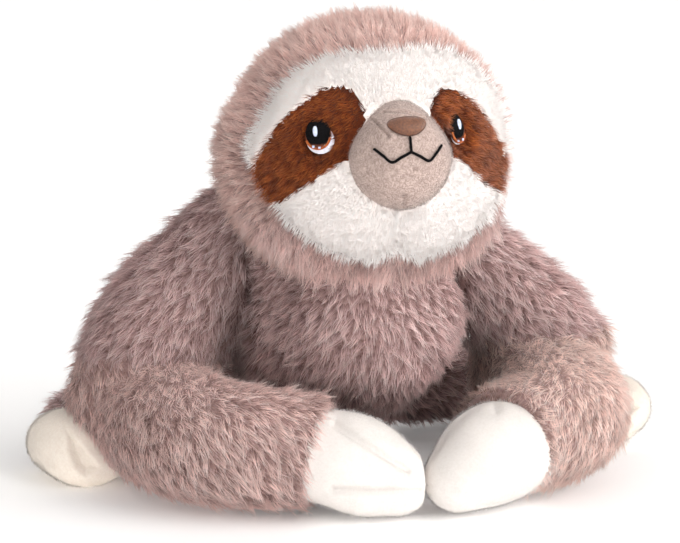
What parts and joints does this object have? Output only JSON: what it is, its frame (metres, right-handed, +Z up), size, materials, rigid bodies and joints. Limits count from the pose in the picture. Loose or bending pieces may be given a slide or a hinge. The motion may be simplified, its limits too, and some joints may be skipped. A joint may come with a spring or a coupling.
{
  "type": "plush sloth",
  "caption": "Long-furred stuffed sloth lying on its belly, arms folded in front, white face with brown eye patches.",
  "frame": {"origin": "on the floor under the middle of the toy's outline", "axes": "+Z up, -Y the way the toy faces, +X towards its own left side"},
  "size_m": [0.3839, 0.2673, 0.276],
  "materials": {
    "long_fur": "long soft pile, combed, matt with a faint sheen",
    "white_fur": "medium soft pile, warm white",
    "brown_fur": "short dense pile, rust brown",
    "velvet": "velvety short pile, taupe",
    "paw_plush": "short fleecy pile, off-white",
    "foot_plush": "short fleecy pile, cream",
    "nose_thread": "satin stitch, brown",
    "black_thread": "satin stitch, black",
    "iris_thread": "satin stitch, orange brown",
    "white_thread": "satin stitch, white",
    "stuffing": "loose white polyester fibre",
    "neck_cloth": "folded backing cloth"
  },
  "bodies": {
    "trunk": {"torso_cover": "long_fur", "torso_stuffing": "stuffing"},
    "neck": {"neck_band": "neck_cloth"},
    "head": {"head_cover": "long_fur", "head_stuffing": "stuffing", "brow_panel": "white_fur", "muzzle_cover": "velvet", "muzzle_stuffing": "stuffing", "nose": "nose_thread", "mouth_line": "black_thread", "cheek_panel_left": "white_fur", "eye_patch_left": "brown_fur", "eye_white_left": "white_thread", "eye_iris_left": "iris_thread", "eye_pupil_left": "black_thread", "eye_glint_left": "white_thread", "cheek_panel_right": "white_fur", "eye_patch_right": "brown_fur", "eye_white_right": "white_thread", "eye_iris_right": "iris_thread", "eye_pupil_right": "black_thread", "eye_glint_right": "white_thread"},
    "upper_arm_left": {"upper_arm_cover_left": "long_fur", "upper_arm_stuffing_left": "stuffing"},
    "forearm_left": {"forearm_cover_left": "long_fur", "forearm_stuffing_left": "stuffing", "paw_cover_left": "paw_plush", "paw_stuffing_left": "stuffing"},
    "leg_left": {"leg_cover_left": "long_fur", "leg_stuffing_left": "stuffing", "foot_cover_left": "foot_plush", "foot_stuffing_left": "stuffing"},
    "upper_arm_right": {"upper_arm_cover_right": "long_fur", "upper_arm_stuffing_right": "stuffing"},
    "forearm_right": {"forearm_cover_right": "long_fur", "forearm_stuffing_right": "stuffing", "paw_cover_right": "paw_plush", "paw_stuffing_right": "stuffing"},
    "leg_right": {"leg_cover_right": "long_fur", "leg_stuffing_right": "stuffing", "foot_cover_right": "foot_plush", "foot_stuffing_right": "stuffing"}
  },
  "joints": [
    {"name": "neck_turn", "type": "hinge", "parent": "trunk", "child": "neck", "pos_m": [0, -0.0025, 0.19], "axis": [0, 0, 1], "range_deg": [-20, 20], "stiffness_Nm_per_rad": 0.25},
    {"name": "neck_nod", "type": "hinge", "parent": "neck", "child": "head", "pos_m": [0, -0.0025, 0.19], "axis": [1, 0, 0], "range_deg": [-12, 12], "stiffness_Nm_per_rad": 0.25},
    {"name": "shoulder_left", "type": "hinge", "parent": "trunk", "child": "upper_arm_left", "pos_m": [0.066, 0.0375, 0.13], "axis": [-1, 0, 0], "range_deg": [0, 40], "stiffness_Nm_per_rad": 0.2},
    {"name": "elbow_left", "type": "hinge", "parent": "upper_arm_left", "child": "forearm_left", "pos_m": [0.119, 0.0245, 0.0435], "axis": [0, 0, 1], "range_deg": [0, 25], "stiffness_Nm_per_rad": 0.15},
    {"name": "shoulder_right", "type": "hinge", "parent": "trunk", "child": "upper_arm_right", "pos_m": [-0.066, 0.0375, 0.13], "axis": [-1, 0, 0], "range_deg": [0, 40], "stiffness_Nm_per_rad": 0.2},
    {"name": "elbow_right", "type": "hinge", "parent": "upper_arm_right", "child": "forearm_right", "pos_m": [-0.119, 0.0245, 0.0435], "axis": [0, 0, -1], "range_deg": [0, 25], "stiffness_Nm_per_rad": 0.15},
    {"name": "hip_left", "type": "hinge", "parent": "trunk", "child": "leg_left", "pos_m": [0.058, 0.091, 0.032], "axis": [0, 0, 1], "range_deg": [0, 25], "stiffness_Nm_per_rad": 0.15},
    {"name": "hip_right", "type": "hinge", "parent": "trunk", "child": "leg_right", "pos_m": [-0.058, 0.091, 0.032], "axis": [0, 0, -1], "range_deg": [0, 25], "stiffness_Nm_per_rad": 0.15}
  ]
}
